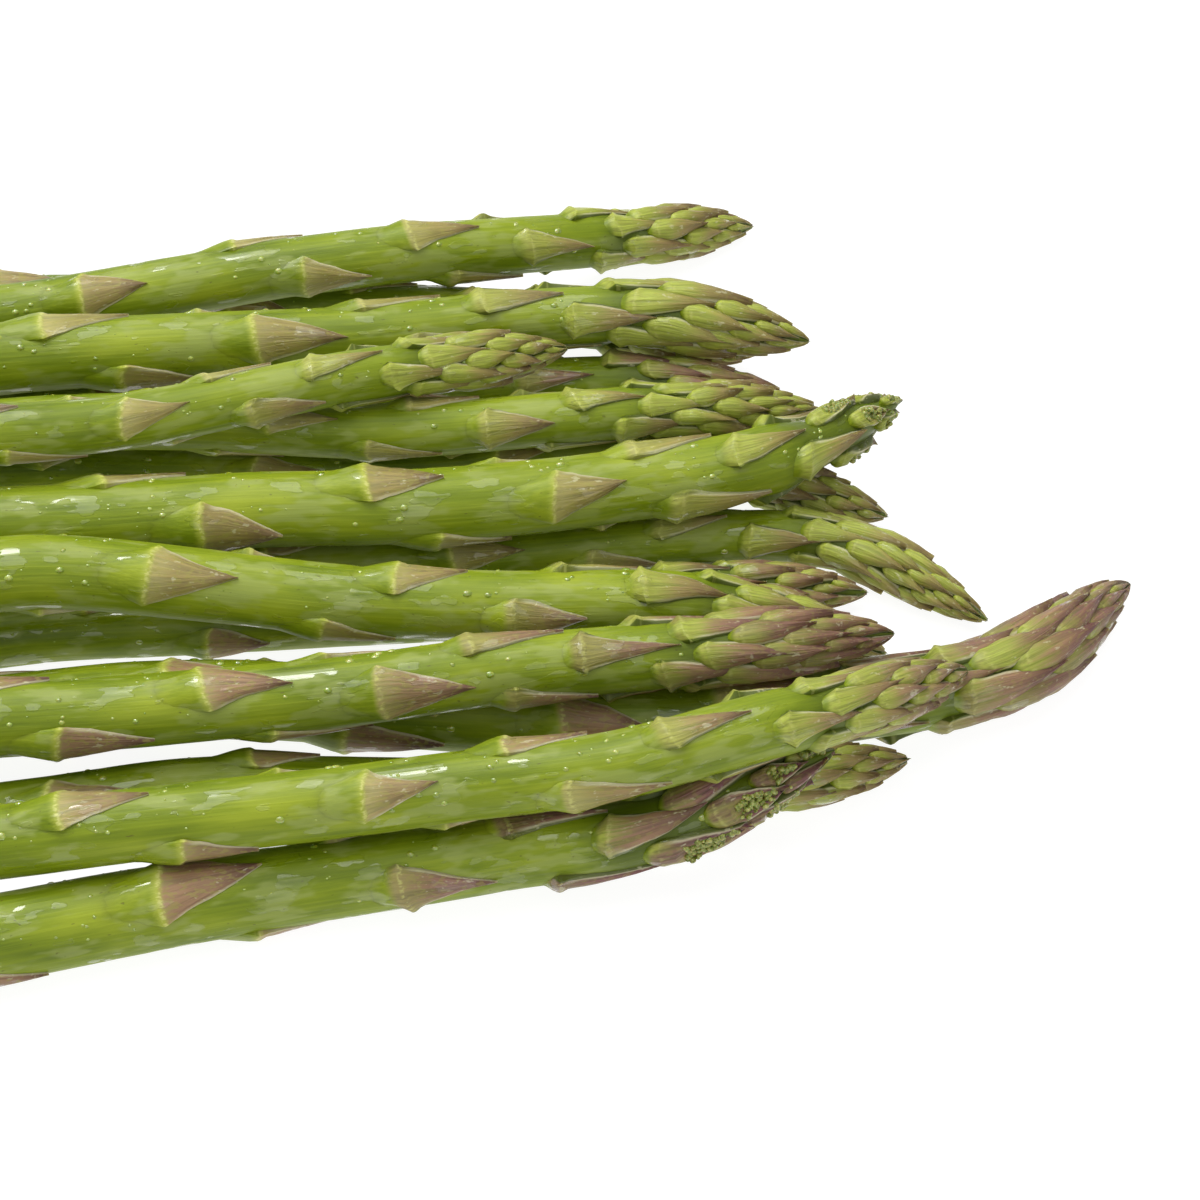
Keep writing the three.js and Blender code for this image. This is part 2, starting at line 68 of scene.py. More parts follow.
Spear = namedtuple(
    "Spear", "number slot butt neck head girth at angle ratio hand loose tint shade open route")
SPEARS = [
    Spear(1, GREEN, 11.6, 10.0, 32, 10.8, 30, 15, 1.13, 1, 1.0, 0.55, 0.4, 0,
          [(-163, 104), (-134, 100), (-104, 96), (-75, 92), (-46, 87), (-17, 81), (11, 73), (39, 63)]),
    Spear(2, PURPLE, 11.2, 10.0, 41, 11.6, 31, -60, 1.12, -1, 0.9, 0.75, 0.3, 0,
          [(-158, 80), (-129, 74), (-100, 68), (-70, 65), (-40, 62), (-11, 60), (19, 56), (47, 46)]),
    Spear(3, GREEN, 11.2, 9.8, 32, 10.8, 31.2, -170, 1.10, 1, 1.0, 0.4, 0.5, 0,
          [(-158, 54), (-127, 53), (-95, 51), (-64, 46), (-33, 42), (-2, 40), (28, 32), (56, 19)]),
    Spear(4, GREEN, 11.2, 9.6, 43, 10.8, 32.4, 120, 1.10, 1, 0.9, 0.25, 0.6, 0,
          [(-150, 24), (-118, 25), (-85, 24), (-53, 21), (-20, 19), (12, 18), (44, 13), (69, -7)]),
    Spear(5, PURPLE, 10.6, 9.4, 34, 10.6, 31.5, -110, 1.18, 1, 1.0, 0.6, 0.4, 0,
          [(-160, 8), (-130, 10), (-100, 12), (-70, 10), (-41, 8), (-11, 6), (19, 5), (49, 2)]),
    Spear(6, PURPLE, 14.6, 12.8, 55, 15.2, 32.7, -60, 1.10, -1, 0.7, 0.85, 0.5, 0,
          [(-140, -10), (-105, -7), (-70, -8), (-36, -15), (-2, -22), (33, -25), (68, -22), (96, -2)]),
    Spear(7, GREEN, 11.4, 10.2, 34, 11.4, 30.8, 110, 1.14, 1, 0.9, 0.6, 0.5, 0,
          [(-168, -25), (-136, -27), (-105, -27), (-74, -26), (-43, -30), (-13, -35), (18, -39), (49, -36)]),
    Spear(8, PURPLE, 16.2, 12.4, 47, 14.6, 33.1, -170, 1.15, 1, 1.35, 1.0, 0.55, 0.6,
          [(-174, -59), (-144, -56), (-114, -54), (-84, -51), (-54, -49), (-24, -49), (5, -50), (34, -42)]),
    Spear(9, GREEN, 11.0, 9.6, 41, 10.8, 30, -30, 1.10, -1, 0.9, 0.3, 0.7, 0,
          [(-155, 46), (-126, 49), (-97, 51), (-68, 48), (-39, 42), (-10, 40), (19, 40), (48, 42)]),
    Spear(10, GREEN, 14.2, 12.8, 33, 12.6, 31.1, 70, 1.13, 1, 2.2, 0.35, 0.8, 1.0,
          [(-152, 33), (-121, 28), (-90, 25), (-59, 24), (-28, 21), (4, 21), (35, 24), (62, 39)]),
    Spear(11, GREEN, 13.8, 11.6, 39, 12.4, 31.2, 40, 1.14, -1, 0.9, 0.5, 0.8, 0,
          [(-160, 12), (-130, 11), (-99, 11), (-69, 7), (-40, 2), (-10, -2), (21, -5), (50, -11)]),
    Spear(12, GREEN, 14.6, 10.8, 43, 14.0, 30, 120, 1.11, 1, 0.9, 0.3, 0.7, 0,
          [(-152, 66), (-123, 67), (-94, 67), (-66, 66), (-37, 65), (-8, 66), (20, 64), (48, 57)]),
    Spear(13, GREEN, 11.8, 10.8, 37, 11.6, 31.1, 120, 1.13, 1, 0.9, 0.45, 0.6, 0,
          [(-150, 84), (-117, 83), (-85, 84), (-52, 85), (-19, 87), (13, 93), (45, 100)]),
    Spear(14, PURPLE, 13.4, 11.4, 44, 13.4, 31.5, -130, 1.10, 1, 0.8, 0.85, 0.6, 0,
          [(-165, -18), (-134, -17), (-104, -17), (-73, -18), (-43, -20), (-12, -20), (19, -20), (49, -18)]),
    Spear(15, PURPLE, 12.8, 11.2, 41, 12.4, 32.7, 30, 1.13, 1, 0.85, 0.55, 0.65, 0,
          [(-161, -37), (-129, -39), (-97, -42), (-64, -43), (-32, -44), (0, -46), (31, -40), (60, -27)]),
    Spear(16, GREEN, 10.6, 9.4, 37, 11.4, 30, 30, 1.11, 1, 0.9, 0.4, 0.7, 0,
          [(-170, 36), (-141, 36), (-112, 37), (-83, 38), (-55, 42), (-26, 48), (2, 55)]),
]
print("spears:", len(SPEARS), " thickest butt:", max(s.butt for s in SPEARS), "mm")

# %% [markdown]
# ## The outline of one spear
# From the tip down, the head swells to its girth and closes into the neck, and below it the stem
# widens slowly to the cut end. The core is what is left under the scales. The rules are written once
# for plain numbers here, to lay the spears down, and later as nodes, to make their surface.

# %% Radii along a spear
HEAD_COVER = 1.7          # depth of the scales over the core of the head
TIP_COVER = 0.45          # but never more than this share of the head's radius
TIP_RADIUS = 0.45         # of the core at its very tip
CLEARANCE = 0.92          # room for the scales round a bare stem
DOME_END = 0.65           # the head is a dome down to this share of its length
DOME_POWER = 0.75         # under 1 makes the dome full, over 1 makes it slender


def smooth(share):
    share = np.clip(share, 0, 1)
    return share * share * (3 - 2 * share)


def stem_radius(spear, distance, length):
    share = np.clip((distance - spear.head) / (length - spear.head), 0, 1)
    return (spear.neck + (spear.butt - spear.neck) * share) / 2


def head_radius(spear, distance):
    share = distance / spear.head
    dome = spear.girth / 2 * np.sin(math.pi / 2 * np.minimum(1, share / DOME_END)) ** DOME_POWER
    neck = spear.neck / 2 + CLEARANCE
    return dome + (neck - dome) * smooth((share - DOME_END) / (1 - DOME_END))


def core_radius(spear, distance, length):
    closed = smooth((distance / spear.head - DOME_END) / (1 - DOME_END))
    full = head_radius(spear, np.minimum(distance, spear.head))
    cover = np.minimum(HEAD_COVER + (CLEARANCE - HEAD_COVER) * closed, TIP_COVER * full)
    core = np.maximum(TIP_RADIUS, full - cover)
    return np.where(distance < spear.head, core, stem_radius(spear, distance, length))


def contact_radius(spear, distance, length):
    head = np.maximum(TIP_RADIUS, head_radius(spear, np.minimum(distance, spear.head)))
    return np.where(distance < spear.head, head, stem_radius(spear, distance, length) + CLEARANCE)


THICK = [spear for spear in SPEARS if spear.girth > 14]
for spear in THICK:
    print(spear.number, "radius 5, 20 and 60 mm from the tip:",
          [round(float(contact_radius(spear, np.float64(d), 230)), 2) for d in (5, 20, 60)])

# %% [markdown]
# ## Laying the spears down
# A bundle dropped on a table could be made with rigid bodies, but a spear isn't rigid: it bends over
# the ones beneath it. So each one is a springy rod of points 4 mm apart. It sinks, one spear after
# another, until it rests on the table or on a spear already there. The spring pulls towards straight,
# tension towards short, weight down, and momentum makes the sum converge quickly.

# %% Routes and settling
NODE_STEP = 4
SIDES = 8                 # the solids rest on a facet of this many, a little below their true radius
FLOOR_PRESS = 0.12        # and are pressed flat by this much
STIFFNESS, TENSION, WEIGHT, MOMENTUM = 12, 0.6, 0.05, 0.93
SETTLE_ROUNDS = 1600
SAMPLES = 200             # samples of the smooth route, for its length


def smooth_route(corners, samples):
    """Points on the Catmull-Rom curve through the corners, evenly spread in its parameter."""
    corners = np.array(corners, float)
    padded = np.vstack([2 * corners[0] - corners[1], corners, 2 * corners[-1] - corners[-2]])
    spans = len(corners) - 1
    at = np.linspace(0, spans, samples + 1)
    index = np.minimum(at.astype(int), spans - 1)
    t = (at - index)[:, None]
    p0, p1, p2, p3 = (padded[index + k] for k in range(4))
    m1, m2 = (p2 - p0) / 2, (p3 - p1) / 2
    return ((2 * t**3 - 3 * t**2 + 1) * p1 + (t**3 - 2 * t**2 + t) * m1
            + (3 * t**2 - 2 * t**3) * p2 + (t**3 - t**2) * m2)


def lay_plan(spear):
    """The route as evenly spaced plan points, butt first, and each one's distance from the tip."""
    route = smooth_route(np.array(spear.route, float) - PLAN_MIDDLE, SAMPLES)
    run = np.concatenate([[0], np.cumsum(np.linalg.norm(np.diff(route, axis=0), axis=1))])
    length = run[-1]
    steps = round(length / NODE_STEP)
    even = np.linspace(0, length, steps + 1)
    plan = np.column_stack([np.interp(even, run, route[:, axis]) for axis in range(2)])
    return plan, length - even, length


def heights_under(spear, plan, distances, length, laid):
    """The lowest height of every point, on the table or over the spears already laid."""
    radius = contact_radius(spear, distances, length)
    bare = core_radius(spear, distances, length)
    height = np.where(distances < spear.head, radius, bare * math.cos(math.pi / SIDES) - FLOOR_PRESS)
    for points, radii in laid:
        reach = radius[:, None] + radii[None, :]
        apart = np.linalg.norm(plan[:, None, :] - points[None, :, :2], axis=2)
        over = np.where(apart < reach, points[None, :, 2] + np.sqrt(np.maximum(0, reach**2 - apart**2)), 0)
        height = np.maximum(height, over.max(axis=1))
    return height


def settle(under):
    """Heights of a springy rod that has sunk onto what is under it."""
    pace = 1 / (16 * STIFFNESS + 4 * TENSION)     # the longest step that stays stable
    heights, before = under.copy(), under.copy()
    for _ in range(SETTLE_ROUNDS):
        bend = np.zeros_like(heights)
        bend[1:-1] = heights[:-2] - 2 * heights[1:-1] + heights[2:]
        padded = np.concatenate([[0], bend, [0]])
        spread = padded[:-2] - 2 * bend + padded[2:]
        push = -STIFFNESS * spread + TENSION * bend - WEIGHT
        heights, before = np.maximum(under, heights + pace * push + MOMENTUM * (heights - before)), heights
    return heights


laid, centrelines, lengths = [], {}, {}
for spear in SPEARS:
    plan, distances, length = lay_plan(spear)
    heights = settle(heights_under(spear, plan, distances, length, laid))
    points = np.column_stack([plan, heights])
    laid.append((points, contact_radius(spear, distances, length)))
    centrelines[spear.number], lengths[spear.number] = points[::-1], length
    _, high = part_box(f"spear_{spear.number:02d}")
    top = (points[:, 2] + laid[-1][1]).max()
    print(f"spear {spear.number:2d}: {length:6.1f} mm long, top {top:5.1f} mm, "
          f"solid's top {high.z / MM:5.1f} mm")

# %% [markdown]
# ## Building node trees from arithmetic
# The surface of a spear is a rule: a distance from the tip, an angle round the stem and a height over
# the skin give a point. Drawing such a rule as separate Math nodes is slow to read, so a Wire stands
# for a value inside a tree, and + - * / on wires add the nodes. The same helper serves geometry
# trees and materials.

# %% Wires


class Wire:
    """A value on its way through a node tree. Arithmetic on it adds Math nodes."""

    def __init__(self, tree, socket):
        self.tree, self.socket = tree, socket

    def __add__(self, other):
        return calc("ADD", self, other)

    def __radd__(self, other):
        return calc("ADD", other, self)

    def __sub__(self, other):
        return calc("SUBTRACT", self, other)

    def __rsub__(self, other):
        return calc("SUBTRACT", other, self)

    def __mul__(self, other):
        return calc("MULTIPLY", self, other)

    def __rmul__(self, other):
        return calc("MULTIPLY", other, self)

    def __truediv__(self, other):
        return calc("DIVIDE", self, other)

    def __rtruediv__(self, other):
        return calc("DIVIDE", other, self)

    def __pow__(self, other):
        return calc("POWER", self, other)


def plug(tree, socket, value):
    if isinstance(value, Wire):
        tree.links.new(value.socket, socket)
    elif socket.type == "RGBA":
        socket.default_value = (*value[:3], 1)
    else:
        socket.default_value = value


def live(sockets, name):
    """The enabled socket of that name, or the one at that place."""
    if isinstance(name, int):
        return sockets[name]
    return next(s for s in sockets if s.name == name and s.enabled)


def node(tree, kind, inputs=None, **settings):
    """A new node with its settings made and its inputs plugged."""
    made = tree.nodes.new(kind)
    for name, value in settings.items():
        setattr(made, name, value)
    for name, value in (inputs or {}).items():
        plug(tree, live(made.inputs, name), value)
    return made


def out(made, name=0):
    return Wire(made.id_data, live(made.outputs, name))


def calc(operation, *values):
    tree = next(v.tree for v in values if isinstance(v, Wire))
    return out(node(tree, "ShaderNodeMath", dict(enumerate(values)), operation=operation))


def vector_calc(operation, *values):
    tree = next(v.tree for v in values if isinstance(v, Wire))
    return out(node(tree, "ShaderNodeVectorMath", dict(enumerate(values)), operation=operation), "Vector")


def stretch(vector, by):
    """A vector times one number."""
    made = node(vector.tree, "ShaderNodeVectorMath", {0: vector}, operation="SCALE")
    plug(vector.tree, live(made.inputs, "Scale"), by)
    return out(made, "Vector")


def blend(low, high, share):
    """low where share is 0 and high where it is 1."""
    return low + (high - low) * share


def ramp(value, start, end, low=0.0, high=1.0, kind="SMOOTHSTEP"):
    """low before start, high after end, and a smooth or straight change between them."""
    made = node(value.tree, "ShaderNodeMapRange", {
        "Value": value, "From Min": start, "From Max": end, "To Min": low, "To Max": high},
        interpolation_type=kind)
    return out(made)


def parts(vector):
    made = node(vector.tree, "ShaderNodeSeparateXYZ", {0: vector})
    return out(made, 0), out(made, 1), out(made, 2)


def joined(x, y, z):
    tree = next(v.tree for v in (x, y, z) if isinstance(v, Wire))
    return out(node(tree, "ShaderNodeCombineXYZ", {0: x, 1: y, 2: z}))


def grain(where, scale, detail=3.0, roughness=0.55):
    """Noise about 0.5."""
    return out(node(where.tree, "ShaderNodeTexNoise", {
        "Vector": where, "Scale": scale, "Detail": detail, "Roughness": roughness}), "Fac")


print("helpers ready: Wire, node, calc, blend, ramp, grain")

# %% [markdown]
# ## Radii as nodes
# The same outline as above, written with wires. The tree works in millimetres, like the table, and
# its last step turns them into metres.

# %% Radii and places in the tree
SIZES = {
    "Length": 230.0, "Butt": 12.0, "Neck": 10.0, "Head": 40.0, "Girth": 12.0,
    "Scale At": 30.0, "First Angle": 0.0, "Ratio": 1.1, "Hand": 1.0, "Looseness": 1.0,
    "Seed": 0, "Open": 0.0, "Tint": 0.5, "Shade": 0.5,
}


def most(a, b):
    return calc("MAXIMUM", a, b)


def least(a, b):
    return calc("MINIMUM", a, b)


def stem_radius_nodes(size, distance):
    share = ramp(distance, size["Head"], size["Length"], kind="LINEAR")
    return blend(size["Neck"], size["Butt"], share) * 0.5


def head_radius_nodes(size, distance):
    share = most(distance, 0.0) / size["Head"]
    dome = calc("SINE", least(share / DOME_END, 1.0) * (math.pi / 2)) ** DOME_POWER
    return blend(size["Girth"] * 0.5 * dome, size["Neck"] * 0.5 + CLEARANCE, ramp(share, DOME_END, 1.0))


def core_radius_nodes(size, distance):
    full = head_radius_nodes(size, distance)
    cover = least(ramp(distance / size["Head"], DOME_END, 1.0, HEAD_COVER, CLEARANCE), full * TIP_COVER)
    head = most(full - cover, TIP_RADIUS)
    return blend(stem_radius_nodes(size, distance), head, calc("LESS_THAN", distance, size["Head"]))


def spear_point(path, distance, angle, radius):
    """A point at that distance from the tip, that angle round the stem and that far from its middle."""
    tree = path.tree
    sample = node(tree, "GeometryNodeSampleCurve", {"Curves": path, "Length": most(distance, 0.0)},
                  mode="LENGTH", use_all_curves=False)
    forward = stretch(out(sample, "Tangent"), -1.0)
    side = vector_calc("NORMALIZE", vector_calc("CROSS_PRODUCT", (0, 0, 1), forward))
    up = vector_calc("CROSS_PRODUCT", forward, side)
    turn = angle * (math.pi / 180)
    spoke = vector_calc("ADD", stretch(up, calc("COSINE", turn)), stretch(side, calc("SINE", turn)))
    beyond = stretch(forward, least(distance, 0.0) * -1.0)
    middle = vector_calc("ADD", out(sample, "Position"), beyond)
    x, y, z = parts(vector_calc("ADD", middle, stretch(spoke, radius)))
    return joined(x, y, most(z, 0.0))


def straight_point(distance, angle, radius):
    """The same point with the stem pulled straight. Streaks and speckles of the skin read it."""
    turn = angle * (math.pi / 180)
    return joined(radius * calc("COSINE", turn), radius * calc("SINE", turn), distance)


def keep(geometry, name, value, kind="FLOAT"):
    """Stores a value on the points, for a later step or for the materials."""
    made = node(geometry.tree, "GeometryNodeStoreNamedAttribute",
                {"Geometry": geometry, "Name": name, "Value": value}, data_type=kind, domain="POINT")
    return out(made)


def kept(tree, name, kind="FLOAT"):
    return out(node(tree, "GeometryNodeInputNamedAttribute", {"Name": name}, data_type=kind), "Attribute")


def placed(geometry, position):
    return out(node(geometry.tree, "GeometryNodeSetPosition", {"Geometry": geometry, "Position": position}))


print("sizes of the tree:", ", ".join(SIZES))

# %% [markdown]
# ## The stem
# A stem is a tube along a curve. Curve to Mesh would sweep one circle along it, but here the radius,
# a slight waviness and the flat where it lies on the table all follow rules, so a flat grid is
# rolled up instead: its X goes round the stem and its Y runs from the tip to the cut end.

# %% Stem and cut end
ROUND, ALONG = 52, 130    # vertices round and along the stem
CUT_RINGS = 7
CUT_BEVEL = 0.4
CUT_DISH = 0.5            # the middle of the cut end stands back by this much
DRIED = {"length": 10.0, "share": 0.07}   # the cut end has dried and shrunk a little
TIP_TAPER = 3.0           # the core runs out to a point inside the last scales
WAVE = {"size": 0.045, "height": 0.5, "from": 8.0, "full": 40.0}
YOUNG_SKIN = (1.0, 0.8)   # old above the first and young below the second, in head lengths


def skin_wave(straight):
    return (grain(straight, WAVE["size"], 2.0, 0.5) - 0.5) * WAVE["height"]


def dried(size, distance):
    return 1.0 - ramp(distance, size["Length"] - DRIED["length"], size["Length"]) * DRIED["share"]


def stem_part(tree, size, path, skin):
    grid = node(tree, "GeometryNodeMeshGrid", {
        "Size X": 1.0, "Size Y": 1.0, "Vertices X": ROUND + 1, "Vertices Y": ALONG})
    x, y, _ = parts(out(node(tree, "GeometryNodeInputPosition")))
    angle = (x + 0.5) * 360.0
    distance = (y + 0.5) * (size["Length"] - CUT_BEVEL)
    core = core_radius_nodes(size, distance)
    straight = straight_point(distance, angle, core)
    wave = skin_wave(straight) * ramp(distance, WAVE["from"], WAVE["full"])
    radius = (core + wave) * ramp(distance, 0.0, TIP_TAPER, kind="LINEAR") * dried(size, distance)
    mesh = keep(out(grid), "straight", straight, "FLOAT_VECTOR")
    mesh = keep(mesh, "along", -1.0)
    mesh = keep(mesh, "young", ramp(distance / size["Head"], *YOUNG_SKIN))
    mesh = placed(mesh, spear_point(path, distance, angle, radius))
    return out(node(tree, "GeometryNodeSetMaterial", {"Geometry": mesh, "Material": skin}))


def cut_part(tree, size, path, cut):
    grid = node(tree, "GeometryNodeMeshGrid", {
        "Size X": 1.0, "Size Y": 1.0, "Vertices X": ROUND + 1, "Vertices Y": CUT_RINGS})
    x, y, _ = parts(out(node(tree, "GeometryNodeInputPosition")))
    angle = (x + 0.5) * 360.0
    inward = y + 0.5
    outermost = calc("LESS_THAN", inward, 0.5 / CUT_RINGS)
    share = calc("SQRT", 1.0 - inward)
    distance = size["Length"] - outermost * CUT_BEVEL - (1.0 - share) * CUT_DISH
    core = core_radius_nodes(size, size["Length"] - CUT_BEVEL)
    rim = straight_point(size["Length"] - CUT_BEVEL, angle, core)
    wave = skin_wave(rim)
    mesh = keep(out(grid), "straight", straight_point(distance, angle, core * share), "FLOAT_VECTOR")
    mesh = keep(mesh, "along", share)
    radius = (core + wave) * share * dried(size, distance)
    mesh = placed(mesh, spear_point(path, distance, angle, radius))
    return out(node(tree, "GeometryNodeSetMaterial", {"Geometry": mesh, "Material": cut}))


print("stem grid:", ROUND, "round by", ALONG, "along")

# %% [markdown]
# ## The scales
# Each scale is a leaf that has stopped growing. They stand on a spiral: every next one is turned by
# the golden angle, and towards the tip they come closer together in a constant ratio, until they
# overlap like shingles and close the head. So the tree needs no list of scales: it makes points,
# numbers them, works out each one's distance and angle from its number, and puts a thin plate on it.
# After Realize Instances a second rule bends every plate round the stem: a swelling that rises out of
# the skin, a raised lip, a shield that tapers to a point and lies close to the stem, and in the head
# a boat shape with a rounded base.

# %% Points of the spiral
GOLDEN_TURN = 137.5
FIRST_SCALE = 4.6         # distance of the youngest scale from the tip
BUTT_CLEAR = 8.0          # bare stem above the cut end
SCALE_LENGTH = {"base": 4.6, "growth": 0.27, "most": 14.2}   # on a spear of USUAL_GIRTH
USUAL_GIRTH = 12.4
SCALE_TIP_LIMIT = 0.4     # no scale reaches closer to the tip than this
STEM_HALF_WIDTH, HEAD_HALF_WIDTH = 45.0, 31.0   # at the base, as angles round the stem
SIZE_SPREAD = (0.9, 1.12)   # lengths and widths differ from the rule by these factors
TURN_SPREAD = (-4.0, 4.0)   # and places round the stem by these angles
CROWD_FROM = 0.92         # nearer the tip than this share of the head, the steps are shorter
CROWD_GROWTH, CROWD_OFFSET = 0.022, 30.0   # a step there is this share of the distance plus the offset
YOUNG = (2.4, 0.9)        # scales look old above the first and young below the second, in head lengths
IN_HEAD = (1.0, 0.62)     # and lie over a core that narrows between these
BURST_BELOW = 0.8         # scales nearer the tip than this may have opened
PLATE = (15, 9, 2)        # vertices of a plate along, across and through
SALT = {"turn": 1.0, "length": 2.0, "width": 3.0, "luck": 4.0, "skew": 5.0, "burst": 6.0,
        "drop": 9.0, "bead": 21.0}   # added to a spear's seed, so that its draws differ


def draw(tree, size, salt, low, high):
    """A random number for every point."""
    made = node(tree, "FunctionNodeRandomValue", {
        "Min": low, "Max": high, "Seed": size["Seed"] + SALT[salt]}, data_type="FLOAT")
    return out(made, "Value")


def spiral_points(tree, size):
    def step_at(distance):
        return calc("LOGARITHM", distance / size["Scale At"], size["Ratio"])

    oldest = calc("FLOOR", step_at(size["Length"] - BUTT_CLEAR))
    start = size["Head"] * CROWD_FROM
    crowded = step_at(start)
    pace = size["Looseness"] * size["Girth"] * (CROWD_GROWTH / USUAL_GIRTH) + 1.0
    rest = (FIRST_SCALE + CROWD_OFFSET) / (start + CROWD_OFFSET)
    youngest = crowded + calc("LOGARITHM", rest, pace)
    points = out(node(tree, "GeometryNodePoints", {"Count": oldest - calc("CEIL", youngest) + 1.0}))
    step = oldest - out(node(tree, "GeometryNodeInputIndex"))
    dense = (start + CROWD_OFFSET) * pace ** (step - crowded) - CROWD_OFFSET
    distance = blend(dense, size["Scale At"] * size["Ratio"] ** step, calc("GREATER_THAN", step, crowded))
    head = ramp(distance / size["Head"], *IN_HEAD)
    young = ramp(distance / size["Head"], *YOUNG)

    length = least(distance * SCALE_LENGTH["growth"] + SCALE_LENGTH["base"], SCALE_LENGTH["most"])
    length = length * (size["Girth"] / USUAL_GIRTH) * draw(tree, size, "length", *SIZE_SPREAD)
    length = least(length, distance - SCALE_TIP_LIMIT)
    turn = step * GOLDEN_TURN * size["Hand"] + size["First Angle"] + draw(tree, size, "turn", *TURN_SPREAD)
    width = blend(STEM_HALF_WIDTH, HEAD_HALF_WIDTH, young) * draw(tree, size, "width", *SIZE_SPREAD)
    burst = (calc("LESS_THAN", draw(tree, size, "burst", 0.0, 1.0), size["Open"])
             * calc("LESS_THAN", distance / size["Head"], BURST_BELOW))
    points = keep(points, "base_at", distance)
    points = keep(points, "turn", turn)
    points = keep(points, "reach", length)
    points = keep(points, "half_width", width)
    points = keep(points, "in_head", head)
    points = keep(points, "young", young)
    points = keep(points, "chance", draw(tree, size, "luck", 0.0, 1.0))
    points = keep(points, "burst", burst)
    points = keep(points, "skew", draw(tree, size, "skew", -1.0, 1.0))
    return points


print("plates of", PLATE, "vertices")

# %% The rule that bends a plate into a scale
LIP_AT = 0.3              # share of the plate's vertices that make the swelling before the lip
LIP_CROWDING = 1.5        # vertices crowd towards the lip by this power
RIM, YOUNG_RIM = 0.12, 0.145   # height of the lip, as a share of the stem's thickness
SWELLING, YOUNG_SWELLING = 0.75, 0.25   # its run before the lip, as the same kind of share
HEAD_SWELLING = 0.17      # and in the head, as a share of the scale's length
ROOT_DEPTH = 0.25         # the swelling starts this far under the skin
TIP_SWAY = 12.0           # angle by which a tip may lean to one side
UNDERSIDE = 0.35          # thickness of a free scale in the head
ROOT = 0.45               # on the stem the underside lies this far inside the stem
THINNEST = 0.05


def uneven(x, y, z):
    """Noise about zero, to keep outlines and rims from being all alike."""
    return grain(joined(x, y, z), 1.0, 1.0, 0.5) - 0.5


